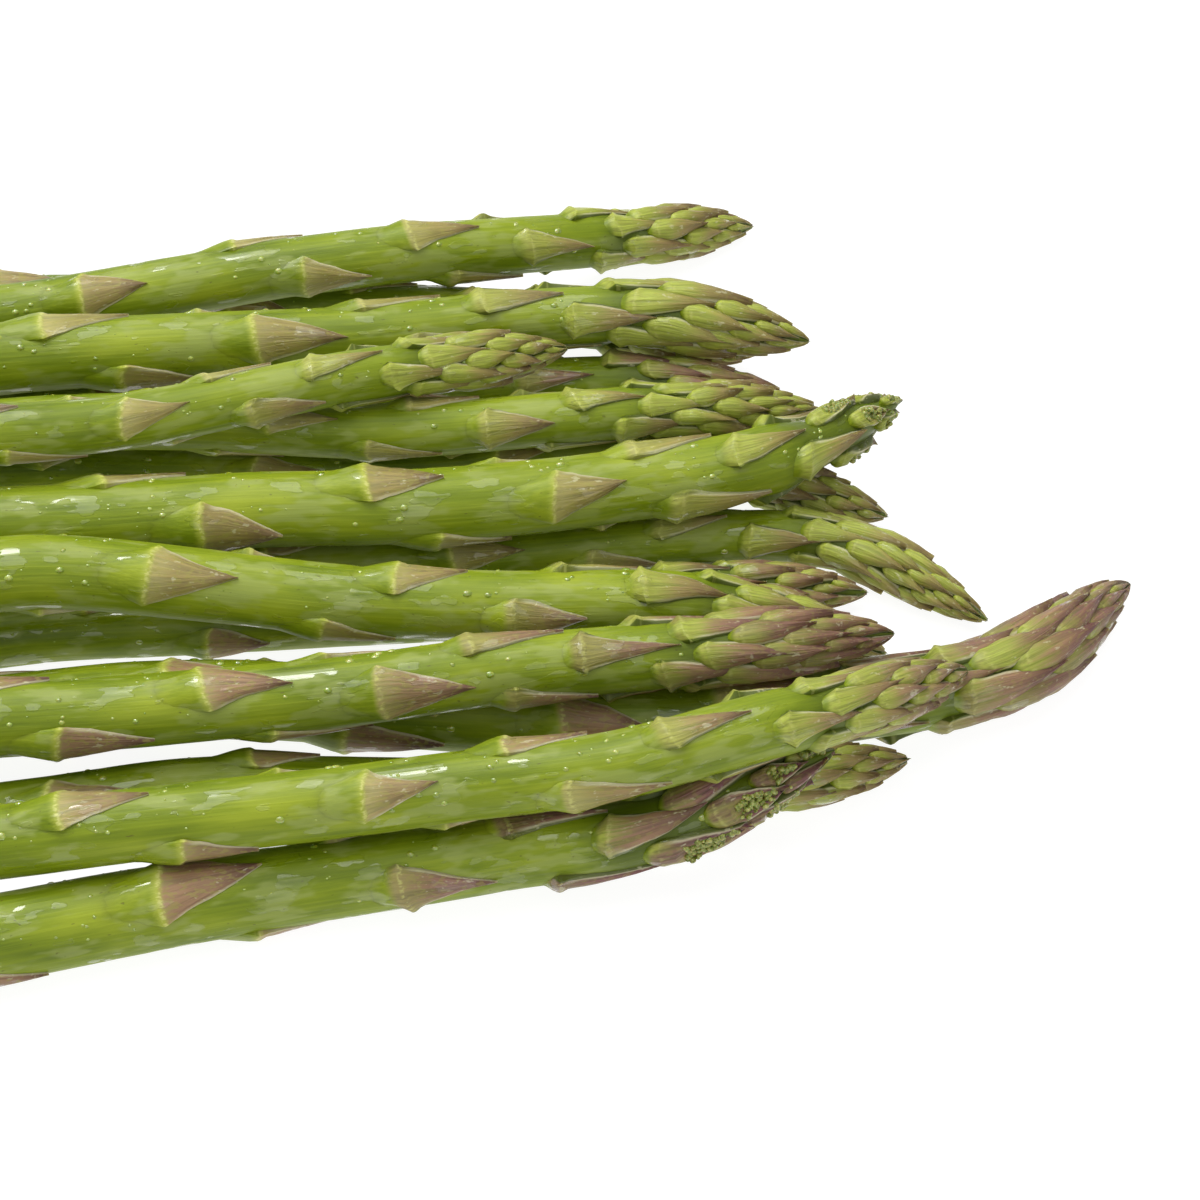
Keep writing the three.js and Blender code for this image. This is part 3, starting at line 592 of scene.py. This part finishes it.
def scale_part(tree, size, path, skin):
    cube = node(tree, "GeometryNodeMeshCube", {
        "Size": (1, 1, 1), "Vertices X": PLATE[0], "Vertices Y": PLATE[1], "Vertices Z": PLATE[2]})
    here = out(node(tree, "GeometryNodeInputPosition"))
    plate = keep(out(cube), "plate", vector_calc("ADD", here, (0.5, 0.5, 0.5)), "FLOAT_VECTOR")
    instances = out(node(tree, "GeometryNodeInstanceOnPoints", {
        "Points": spiral_points(tree, size), "Instance": plate}))
    mesh = out(node(tree, "GeometryNodeRealizeInstances", {"Geometry": instances}))

    x, y, layer = parts(kept(tree, "plate", "FLOAT_VECTOR"))
    base_at, turn, reach = kept(tree, "base_at"), kept(tree, "turn"), kept(tree, "reach")
    half_width, skew, luck = kept(tree, "half_width"), kept(tree, "skew"), kept(tree, "chance")
    head, young = kept(tree, "in_head"), kept(tree, "young")
    # places on the plate: before the lip, along the blade from lip to tip, and across it
    even = y * 2.0 - 1.0
    across = even * (1.5 - even * even * 0.5)
    edge = calc("ABSOLUTE", across)
    before = ramp(x, 0.0, LIP_AT, 1.0, 0.0, "LINEAR") ** LIP_CROWDING
    along = ramp(x, LIP_AT, 1.0, 0.0, 1.0, "LINEAR") ** LIP_CROWDING

    # how far from the spear's tip each vertex comes: the lip is arched and a little ragged
    thickness = stem_radius_nodes(size, base_at) * 2.0
    wobble = uneven(along * 2.6, across * 1.4, luck * 40.0)
    knobs = uneven(across * 2.4, luck * 40.0 + 7.0, 0.0)
    swelling = blend(thickness * SWELLING, thickness * YOUNG_SWELLING, young)
    swelling = blend(swelling, reach * HEAD_SWELLING, head)
    rounding = edge ** 3.0 * blend(blend(0.8, 0.2, young), 1.5, head)
    ragged = across * skew * 0.9 + knobs * blend(1.8, 0.9, head)
    bulge = (rounding + ragged) * (1.0 - along) * (1.0 - before * 0.6)
    run = along * reach - before * swelling + bulge
    distance = base_at - run

    # how far round the stem: a pointed shield on the stem and a boat in the head
    shield = (1.0 - along ** (luck * 0.6 + 0.8)) * blend(1.0, 0.7, before)
    boat = (1.0 - along ** 1.9) * ramp(along, 0.0, 0.22, 0.9, 1.0)
    boat = boat * calc("SQRT", 1.0 - before * before * 0.96)
    width = half_width * blend(shield, boat, head) * (wobble * 0.5 + 1.0)
    angle = turn + across * width + skew * along * along * TIP_SWAY

    # how high over the core, on the stem: the swelling rises to the lip and the blade falls away
    core = core_radius_nodes(size, distance)
    cover = head_radius_nodes(size, least(distance, size["Head"])) - core
    rim = thickness * blend(RIM, YOUNG_RIM, young) * (luck * 0.3 + 0.85) * (knobs * 0.9 + 1.0)
    lip = ramp(along, 0.01, 0.07, 1.0, 0.76) - along * 0.34
    rise = ramp(before, 1.0, 0.0)
    fold = calc("SINE", edge * 5.0 + 1.0) * along * 0.12 * young + wobble * ramp(along, 0.0, 0.3) * 0.35
    shoulder = ramp(along, 0.0, 0.3, blend(0.4, 0.2, young), 0.8)
    flank = 1.0 - edge ** blend(3.0, 5.0, young) * shoulder + fold
    flank = blend(flank, 1.0 - edge ** 2.5 * 1.2, ramp(before, 0.0, 0.35))
    stem_height = rim * lip * rise * flank - before * ROOT_DEPTH
    # and in the head: a belly with thin edges, hollow where the scale has opened
    belly = ramp(along, 0.0, 0.25, 0.8, 1.04) + along * 0.26
    keel = 1.0 - edge ** 1.6 * 0.32 - edge ** 6.0 * 0.68 + fold
    cup = ramp(along, 0.12, 0.3) * ramp(along, 0.98, 0.8) * kept(tree, "burst")
    keel = blend(keel, (0.3 + edge * edge) * ramp(edge, 1.0, 0.86), cup)
    head_height = cover * (belly * keel * (luck * 0.25 + 0.88) * (1.0 - before ** 2.4) - before * 0.3)
    # the underside is sunk in the stem, and free towards the tip of a scale in the head
    height = blend(stem_height, head_height, head)
    sunk = blend(-ROOT, height - UNDERSIDE, head * along)
    radius = core + blend(least(sunk, height - THINNEST), height, layer)

    straight = straight_point(distance, angle, core + height)
    mesh = keep(mesh, "straight", straight, "FLOAT_VECTOR")
    mesh = keep(mesh, "along", along - before)
    mesh = keep(mesh, "across", across)
    mesh = placed(mesh, spear_point(path, distance, angle, radius))
    return out(node(tree, "GeometryNodeSetMaterial", {"Geometry": mesh, "Material": skin}))


print("lip height on a 12 mm stem:", round(12 * RIM, 2), "mm")

# %% [markdown]
# ## Opened buds
# Inside every scale of the head sits a bud, a crumb of tiny green beads. On most spears they are
# hidden. On one or two spears some scales have opened, so the beads show. They are scattered over the
# hollow of an opened scale, and each is a small ball.

# %% Beads of the opened buds
BEADS_PER_MM2 = 3.0
BEAD_SIZE = (0.3, 0.75)
BEAD_FORM = (1.0, 0.8, 1.3)   # a bead's radii along, across and out of the surface, as shares


def balls_on(tree, spread, radii, material):
    """Balls of few faces on scattered points, turned as the surface is."""
    ball = node(tree, "GeometryNodeMeshUVSphere", {"Segments": 8, "Rings": 4, "Radius": 1.0})
    balls = out(node(tree, "GeometryNodeInstanceOnPoints", {
        "Points": out(spread, "Points"), "Instance": out(ball, "Mesh"),
        "Rotation": out(spread, "Rotation"), "Scale": radii}))
    mesh = out(node(tree, "GeometryNodeRealizeInstances", {"Geometry": balls}))
    return out(node(tree, "GeometryNodeSetMaterial", {"Geometry": mesh, "Material": material}))


def bead_part(tree, size, scales, bud):
    along, edge = kept(tree, "along"), calc("ABSOLUTE", kept(tree, "across"))
    _, _, layer = parts(kept(tree, "plate", "FLOAT_VECTOR"))
    hollow = (ramp(along, 0.22, 0.36) * ramp(along, 0.88, 0.66) * ramp(edge, 0.7, 0.4)
              * kept(tree, "burst") * layer)
    spread = node(tree, "GeometryNodeDistributePointsOnFaces", {
        "Mesh": scales, "Density": hollow * BEADS_PER_MM2, "Seed": size["Seed"]})
    radius = draw(tree, size, "bead", *BEAD_SIZE)
    return balls_on(tree, spread, joined(*(radius * share for share in BEAD_FORM)), bud)


print("beads from", BEAD_SIZE[0], "to", BEAD_SIZE[1], "mm in radius")

# %% [markdown]
# ## Water
# The spears have just been rinsed, so small drops cling to their upper side. Distribute Points on
# Faces scatters them over the stem with a fixed seed, more where the skin faces up and in loose
# groups, and a flattened ball is put on each. There are hundreds, so each has only 32 faces.

# %% Drops
DROP_DENSITY = 0.12       # drops on a square millimetre of skin that faces up
DROP_SIZE = (0.14, 0.7)
DROP_FORM = (1.3, 1.0, 0.5)
SMALL_DROPS = 3.0         # the higher this power, the more of the drops are small


def drop_part(tree, size, stem, water):
    _, _, up = parts(out(node(tree, "GeometryNodeInputNormal")))
    gather = ramp(grain(kept(tree, "straight", "FLOAT_VECTOR"), 0.12, 2.0), 0.45, 0.6)
    spread = node(tree, "GeometryNodeDistributePointsOnFaces", {
        "Mesh": stem, "Density": ramp(up, 0.1, 0.8) * gather * DROP_DENSITY, "Seed": size["Seed"]})
    radius = blend(*DROP_SIZE, draw(tree, size, "drop", 0.0, 1.0) ** SMALL_DROPS)
    return balls_on(tree, spread, joined(*(radius * share for share in DROP_FORM)), water)


print("drops from", DROP_SIZE[0], "to", DROP_SIZE[1], "mm in radius")

# %% [markdown]
# ## The skin
# One material covers stem and scales, because on the real spear the scale grows out of the skin with
# no joint. It reads the attributes that the tree stored: "along" is -1 on the bare stem, 0 on the lip
# of a scale and 1 at its tip, and "straight" is the place on the stem pulled straight, so that streaks
# run lengthwise on every spear whichever way it bends. Colours go from the stem's yellow-green, over a
# bright lip, to the grey-purple of the scale, with pale thin edges. In the head, shade is painted dark
# into the crevices between the scales and onto the core under them.

# %% Helpers for materials


def new_material(name):
    material = bpy.data.materials.new(name)
    material.use_nodes = True
    material.node_tree.nodes.clear()
    return material, material.node_tree


def attribute(tree, name, output="Fac"):
    return out(node(tree, "ShaderNodeAttribute", attribute_name=name), output)


def tone(value, stops):
    """A colour ramp over (place, colour) stops."""
    made = node(value.tree, "ShaderNodeValToRGB", {"Fac": value})
    elements = made.color_ramp.elements
    for number, (place, colour) in enumerate(stops):
        element = elements[number] if number < 2 else elements.new(place)
        element.position, element.color = place, (*colour, 1)
    return out(made, "Color")


def mix_colours(low, high, share, mode="MIX"):
    tree = next(v.tree for v in (low, high, share) if isinstance(v, Wire))
    made = node(tree, "ShaderNodeMix", data_type="RGBA", blend_type=mode, clamp_factor=True)
    for name, value in (("Factor", share), ("A", low), ("B", high)):
        plug(tree, live(made.inputs, name), value)
    return out(made, "Result")


def squeeze(vector, x, y, z):
    return vector_calc("MULTIPLY", vector, (x, y, z))


def finish_material(tree, colour, roughness, height, bump, coat=None, depth=0.0006, settings=()):
    """A Principled shader with bump, and the values in settings set on its own sockets."""
    bumped = node(tree, "ShaderNodeBump", {"Height": height, "Strength": bump, "Distance": depth})
    shader = node(tree, "ShaderNodeBsdfPrincipled", {
        "Base Color": colour, "Roughness": roughness, "Normal": out(bumped)})
    if coat is not None:
        plug(tree, shader.inputs["Coat Weight"], coat)
    for name, value in settings:
        shader.inputs[name].default_value = value
    node(tree, "ShaderNodeOutputMaterial", {"Surface": out(shader)})


print("material helpers ready")

# %% Skin of stem and scales
STEM_DARK, STEM_MID, STEM_LIGHT = (0.080, 0.129, 0.001), (0.182, 0.245, 0.004), (0.305, 0.366, 0.016)
PIT = (0.09, 0.08, 0.01)
WAX = (0.31, 0.36, 0.10)
# painted shade: the dark colour painted into the crevices of the head and onto its core
CREVICE_SHADE = (0.06, 0.09, 0.003)
LIP, LIP_EDGE = (0.42, 0.45, 0.06), (0.60, 0.60, 0.20)
SCALE_GREEN = (0.30, 0.285, 0.06)
SCALE_PALE, SCALE_PURPLE, SCALE_TIP = (0.47, 0.43, 0.155), (0.305, 0.185, 0.10), (0.115, 0.055, 0.036)
DEEP_PURPLE = (0.16, 0.055, 0.07)
BRACT_GREEN = (0.355, 0.405, 0.06)
MARGIN = (0.58, 0.56, 0.36)
VEIN_TONES = [(0.35, (0.5, 0.5, 0.5)), (0.62, (1.15, 1.15, 1.15))]
SKIN_SCATTER = (("Subsurface Radius", (1.0, 1.0, 0.35)), ("Subsurface Scale", 0.0012),
                ("Coat Roughness", 0.07), ("Specular IOR Level", 0.3))


def skin_material(name, purple):
    material, tree = new_material(name)
    straight = attribute(tree, "straight", "Vector")
    along, across = attribute(tree, "along"), attribute(tree, "across")
    head, luck = attribute(tree, "young"), attribute(tree, "chance")
    tint, shade = attribute(tree, "tint"), attribute(tree, "shade")
    edge = calc("ABSOLUTE", across)

    # noises on the straightened stem: a small number in squeeze stretches them that way
    streaks = grain(squeeze(straight, 1.6, 1.6, 0.05), 1.0, 2.0, 0.6)
    fine = grain(squeeze(straight, 6.0, 6.0, 0.12), 1.0, 2.0)
    patches = grain(squeeze(straight, 0.16, 0.16, 0.045), 1.0, 2.0)
    specks = grain(squeeze(straight, 1.5, 1.5, 0.8), 1.0, 1.0)
    veins = grain(joined(across * 7.0, along * 1.1, luck * 25.0), 1.0, 2.0, 0.65)

    # the stem: streaked green, waxy patches, pits, painted shade on the core and the roots of the scales in
    # the head, and bright lips
    green = tone(streaks * 0.26 + patches * 0.56 + shade * 0.15 + fine * 0.06,
                 [(0.34, STEM_DARK), (0.52, STEM_MID), (0.7, STEM_LIGHT)])
    wax = ramp(grain(squeeze(straight, 0.3, 0.3, 0.1), 1.0, 2.0, 0.65), 0.5, 0.62) * 0.5
    green = mix_colours(green, WAX, wax)
    green = mix_colours(green, PIT, ramp(specks, 0.27, 0.21) * 0.6)
    # painted shade over the core and the sunk roots of the scales in the head
    green = mix_colours(green, CREVICE_SHADE, head * ramp(along, -0.9, -0.99) * 0.75)
    lip = ramp(along + (fine - 0.5) * 0.16, -0.14, 0.03) * ramp(along, -0.99, -0.9)
    green = mix_colours(green, LIP, lip * (luck * 0.4 + 0.5) * (1.0 - head * 0.6))
    brink = ramp(calc("ABSOLUTE", along + (fine - 0.5) * 0.08 - 0.02), 0.045, 0.0) * (1.0 - head * 0.6)

    # the scale: from a pale or green base to a dark tip, along its veins, with a thin pale margin
    ageing = along + (veins - 0.5) * 0.75 + (luck - 0.5) * 0.25
    purple_share = tint * 0.8 + purple * 0.2
    stem_scale = mix_colours(SCALE_GREEN, SCALE_PURPLE, least(purple_share + luck * 0.2, 1.0))
    pale_base = ramp(ageing, -0.1, 0.42 - tint * 0.2, 0.1 + tint * 0.2, 1.0)
    stem_scale = mix_colours(SCALE_PALE, stem_scale, pale_base)
    green_base = ramp(ageing, 0.26 - purple_share * 0.26, 0.68 - purple_share * 0.24)
    bract = mix_colours(BRACT_GREEN, stem_scale, green_base)
    body = mix_colours(stem_scale, bract, head)
    body = mix_colours(body, SCALE_TIP, ramp(ageing, 0.5, 0.95) * (purple_share * 0.4 + 0.5))
    body = mix_colours(body, DEEP_PURPLE, purple * tint ** 3.0 * ramp(patches, 0.36, 0.56) * 0.8 * head)
    body = mix_colours(body, tone(veins, VEIN_TONES), 0.7, "MULTIPLY")
    body = mix_colours(body, SCALE_GREEN, ramp(specks, 0.5, 0.62) * blend(0.45, 0.25, head))
    margin = ramp(edge + (fine - 0.5) * 0.1, blend(0.85, 0.76, head), blend(0.97, 0.86, head))
    body = mix_colours(body, MARGIN, margin * ramp(along, 0.03, 0.2) * blend(0.55, 0.6, head))
    # painted shade along the edges and the base of each scale in the head, where the scales overlap
    painted_gap_shade = most(ramp(edge, 0.87, 0.95), ramp(along, -0.4, -0.8)) * head
    body = mix_colours(body, CREVICE_SHADE, painted_gap_shade * 0.9)
    scuffs = ramp(grain(squeeze(straight, 1.0, 1.0, 0.5), 1.0, 2.0, 0.7), 0.61, 0.7) * 0.5
    body = mix_colours(body, MARGIN, scuffs * ramp(along, 0.1, 0.3))

    # both together, under a wet film that lies in patches
    starts = blend(0.0, -0.75, head)
    on_scale = ramp(along + (veins - 0.5) * 0.05, starts, starts + blend(0.08, 0.5, head))
    colour = mix_colours(green, body, on_scale * ramp(along, -0.995, -0.9))
    colour = mix_colours(colour, LIP_EDGE, brink * ramp(specks, 0.4, 0.6) * 0.7)
    film = grain(squeeze(straight, 0.26, 0.26, 0.12), 1.0, 2.0, 0.6) + (streaks - 0.5) * 0.12
    wet = ramp(film, 0.588, 0.606)
    roughness = blend(0.42, 0.14, wet) + specks * 0.1 - head * 0.06
    height = streaks * 0.35 + wet * 0.35 + veins * ramp(along, -0.2, 0.2) * blend(0.8, 1.3, head)
    finish_material(tree, colour, roughness, height, 0.4, wet * 0.8,
                    settings=(*SKIN_SCATTER, ("Subsurface Weight", 0.25)))
    return material


skins = {GREEN: skin_material("green_spear_skin", 0.0), PURPLE: skin_material("purple_tinged_skin", 1.0)}
print("skins:", [m.name for m in skins.values()])

# %% [markdown]
# ## Cut end, water and buds
# The cut end shows pale flesh with the still paler dots of its fibre bundles, which are the middles of
# Voronoi cells, and patches that have dried brown. Water could be clear glass, but a thin clear ball
# only catches dark reflections, and a real drop shows the skin under it. So a drop is green and very
# smooth. The buds are a crumb of three greens.

# %% Cut end, water and buds
DOT_COLOUR, DRY_COLOUR = (0.68, 0.68, 0.45), (0.42, 0.33, 0.18)


def cut_material():
    material, tree = new_material("cut_end")
    straight = attribute(tree, "straight", "Vector")
    share = attribute(tree, "along")
    bundles = out(node(tree, "ShaderNodeTexVoronoi", {
        "Vector": squeeze(straight, 1, 1, 0), "Scale": 0.9, "Randomness": 0.9}), "Distance")
    dots = ramp(bundles, 0.32, 0.18)
    flesh = tone(share + (grain(straight, 1.2) - 0.5) * 0.2,
                 [(0.0, (0.55, 0.60, 0.30)), (0.75, (0.50, 0.56, 0.22)), (0.95, (0.22, 0.32, 0.06))])
    colour = mix_colours(flesh, DOT_COLOUR, dots * ramp(share, 0.95, 0.85) * 0.6)
    dry = ramp(grain(straight, 0.5, 4.0, 0.6), 0.5, 0.65) * 0.5
    colour = mix_colours(colour, DRY_COLOUR, dry)
    finish_material(tree, colour, dots * -0.15 + 0.6, dots + grain(straight, 4.0) * 0.5, 0.5,
                    settings=(("Subsurface Weight", 0.2), ("Subsurface Scale", 0.0012)))
    return material


def water_material():
    material, tree = new_material("water")
    depth = grain(out(node(tree, "ShaderNodeTexCoord"), "Object"), 300.0)
    colour = tone(depth, [(0.4, (0.20, 0.27, 0.01)), (0.6, (0.36, 0.42, 0.06))])
    finish_material(tree, colour, 0.05, depth, 0.02,
                    settings=(("Subsurface Weight", 0.3), ("Subsurface Scale", 0.0008),
                              ("Coat Weight", 1.0), ("Specular IOR Level", 0.6)))
    return material


def bud_material():
    material, tree = new_material("bud")
    where = out(node(tree, "ShaderNodeTexCoord"), "Object")
    crumb = grain(where, 1500.0, 3.0, 0.6)
    colour = tone(crumb, [(0.35, (0.10, 0.12, 0.01)), (0.5, (0.23, 0.27, 0.035)),
                          (0.65, (0.42, 0.43, 0.13))])
    finish_material(tree, colour, 0.35, crumb, 0.6, depth=0.0004,
                    settings=(("Subsurface Weight", 0.3), ("Subsurface Scale", 0.0008), ("Coat Weight", 0.3)))
    return material


cut_end, water, bud = cut_material(), water_material(), bud_material()
print("other finishes:", cut_end.name, water.name, bud.name)

# %% [markdown]
# ## From tree to pieces
# The parts above are joined in one tree. Each spear is an object that holds only its centreline as a
# chain of edges and a Geometry Nodes modifier with its own sizes. The evaluated result is then turned
# into a plain mesh, so the finished piece has no modifier left.

# %% The tree of a spear
WELD = 0.002              # the seam and the poles of the rolled grids close within this


def spear_tree(skin):
    tree = bpy.data.node_groups.new("asparagus_" + skin.name, "GeometryNodeTree")
    tree.interface.new_socket("Geometry", in_out="INPUT", socket_type="NodeSocketGeometry")
    for name, value in SIZES.items():
        kind = "NodeSocketInt" if isinstance(value, int) else "NodeSocketFloat"
        tree.interface.new_socket(name, in_out="INPUT", socket_type=kind).default_value = value
    tree.interface.new_socket("Geometry", in_out="OUTPUT", socket_type="NodeSocketGeometry")
    entry = node(tree, "NodeGroupInput")
    size = {name: out(entry, name) for name in SIZES}

    chain = node(tree, "GeometryNodeMeshToCurve", {"Mesh": out(entry, "Geometry")})
    path = out(node(tree, "GeometryNodeCurveSplineType", {"Curve": out(chain)}, spline_type="CATMULL_ROM"))
    stem = stem_part(tree, size, path, skin)
    joint = node(tree, "GeometryNodeJoinGeometry")
    scales = scale_part(tree, size, path, skin)
    for piece in (drop_part(tree, size, stem, water), bead_part(tree, size, scales, bud), scales,
                  cut_part(tree, size, path, cut_end), stem):
        tree.links.new(piece.socket, joint.inputs[0])
    welded = out(node(tree, "GeometryNodeMergeByDistance", {"Geometry": out(joint), "Distance": WELD}))
    welded = keep(keep(welded, "tint", size["Tint"]), "shade", size["Shade"])
    metres = node(tree, "GeometryNodeTransform", {"Geometry": welded, "Scale": (MM, MM, MM)})
    node(tree, "NodeGroupOutput", {"Geometry": out(metres)})
    return tree


trees = {slot: spear_tree(skin) for slot, skin in skins.items()}
print("nodes in a spear's tree:", len(trees[GREEN].nodes))

# %% Making the spears
# attributes that only the tree reads, so the finished mesh doesn't carry them
WORKING = ("plate", "base_at", "turn", "reach", "half_width", "skew", "in_head", "burst")
CREASE = math.radians(50)   # edges sharper than this stay sharp


def chain_object(spear):
    """The centreline as a chain of edges, tip first."""
    points = centrelines[spear.number]
    mesh = bpy.data.meshes.new(f"centreline_{spear.number:02d}")
    mesh.from_pydata(points.tolist(), [(i, i + 1) for i in range(len(points) - 1)], [])
    made = bpy.data.objects.new(f"asparagus_{spear.number:02d}", mesh)
    bpy.context.scene.collection.objects.link(made)
    return made


def grow(spear):
    """The spear as a plain mesh piece that stands for its solid."""
    piece = chain_object(spear)
    tree = trees[spear.slot]
    modifier = piece.modifiers.new("spear", "NODES")
    modifier.node_group = tree
    values = dict(zip(SIZES, (lengths[spear.number], spear.butt, spear.neck, spear.head, spear.girth,
                              spear.at, spear.angle, spear.ratio, spear.hand, spear.loose, spear.number,
                              spear.open, spear.tint, spear.shade)))
    for socket in tree.interface.items_tree:
        if socket.in_out == "INPUT" and socket.name in values:
            value = values[socket.name]
            modifier[socket.identifier] = int(value) if socket.name == "Seed" else float(value)
    graph = bpy.context.evaluated_depsgraph_get()
    mesh = bpy.data.meshes.new_from_object(piece.evaluated_get(graph), depsgraph=graph)
    piece.modifiers.remove(modifier)
    piece.data = mesh
    for name in WORKING:
        if name in mesh.attributes:
            mesh.attributes.remove(mesh.attributes[name])
    mesh.shade_smooth()
    mesh.set_sharp_from_angle(angle=CREASE)
    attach(piece, "root")
    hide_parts(f"spear_{spear.number:02d}")
    return piece


pieces = [grow(spear) for spear in SPEARS]
triangles = [sum(len(face.vertices) - 2 for face in piece.data.polygons) for piece in pieces]
print("triangles of a spear:", min(triangles), "to", max(triangles), " in all:", sum(triangles))

# %% [markdown]
# ## Table, light and camera
# A white table that only reflects light would show a dark shadow under the spears, and one that only
# glows would show none. This one does mostly the second, so a breath of shadow is left. A wide soft
# light above and behind the spears draws a broad sheen along their upper side, a small one beside it
# sets sharp glints in the wet skin, and a weak wide one in front fills their near side.

# %% Table
FLOOR_HALF = 3.0          # metres
FLOOR_DROP = 0.0002       # the table lies this far under the spears, so that their faces don't fight
FLOOR_WHITE, FLOOR_GLOW = 0.2, 0.9


def floor_material():
    material, tree = new_material("white_table")
    shader = node(tree, "ShaderNodeBsdfPrincipled", {
        "Base Color": (FLOOR_WHITE, FLOOR_WHITE, FLOOR_WHITE), "Roughness": 1.0, "Specular IOR Level": 0.0,
        "Emission Color": (1.0, 1.0, 1.0), "Emission Strength": FLOOR_GLOW})
    node(tree, "ShaderNodeOutputMaterial", {"Surface": out(shader)})
    return material


corners = [(-FLOOR_HALF, -FLOOR_HALF, 0), (FLOOR_HALF, -FLOOR_HALF, 0),
           (FLOOR_HALF, FLOOR_HALF, 0), (-FLOOR_HALF, FLOOR_HALF, 0)]
table_mesh = bpy.data.meshes.new("table")
table_mesh.from_pydata(corners, [], [(0, 1, 2, 3)])
table = bpy.data.objects.new("table", table_mesh)
bpy.context.scene.collection.objects.link(table)
table.location.z = -FLOOR_DROP
table_mesh.materials.append(floor_material())
print("table:", 2 * FLOOR_HALF, "m wide")

# %% Light
LIGHTS = {                # place and width in metres, and watts; all of them aim at the origin
    "overhead": ((-0.3, 0.5, 1.6), 2.2, 26),
    "key": ((-0.3, 0.55, 1.0), 0.4, 5),
    "fill": ((0.3, -1.3, 1.2), 2.0, 7),
}
SKY_STRENGTH = 0.45


def soft_light(name, place, width, power):
    lamp = bpy.data.lights.new(name, "AREA")
    lamp.shape, lamp.size, lamp.energy = "DISK", width, power
    made = bpy.data.objects.new(name, lamp)
    made.location = place
    made.rotation_euler = (-Vector(place)).to_track_quat("-Z", "Y").to_euler()
    bpy.context.scene.collection.objects.link(made)


for name, (place, width, power) in LIGHTS.items():
    soft_light(name, place, width, power)
world = bpy.data.worlds.new("studio")
world.use_nodes = True
sky = world.node_tree.nodes["Background"].inputs
sky["Color"].default_value, sky["Strength"].default_value = (1, 1, 1, 1), SKY_STRENGTH
bpy.context.scene.world = world
bpy.context.scene.view_settings.view_transform = "Standard"
print("lights:", ", ".join(LIGHTS))

# %% Camera
AIM = Vector((39.5, -21.5, 12)) * MM
DISTANCE = 0.585
ELEVATION, AZIMUTH = math.radians(50), math.radians(-8)
LENS, SENSOR = 100, 36
camera_data = bpy.data.cameras.new("camera")
camera_data.lens, camera_data.sensor_width = LENS, SENSOR
camera = bpy.data.objects.new("camera", camera_data)
back = Vector((math.sin(AZIMUTH) * math.cos(ELEVATION), -math.cos(AZIMUTH) * math.cos(ELEVATION),
               math.sin(ELEVATION)))
camera.location = AIM + back * DISTANCE
camera.rotation_euler = (-back).to_track_quat("-Z", "Y").to_euler()
bpy.context.scene.collection.objects.link(camera)
bpy.context.scene.camera = camera
print("camera at", [round(c, 3) for c in camera.location])
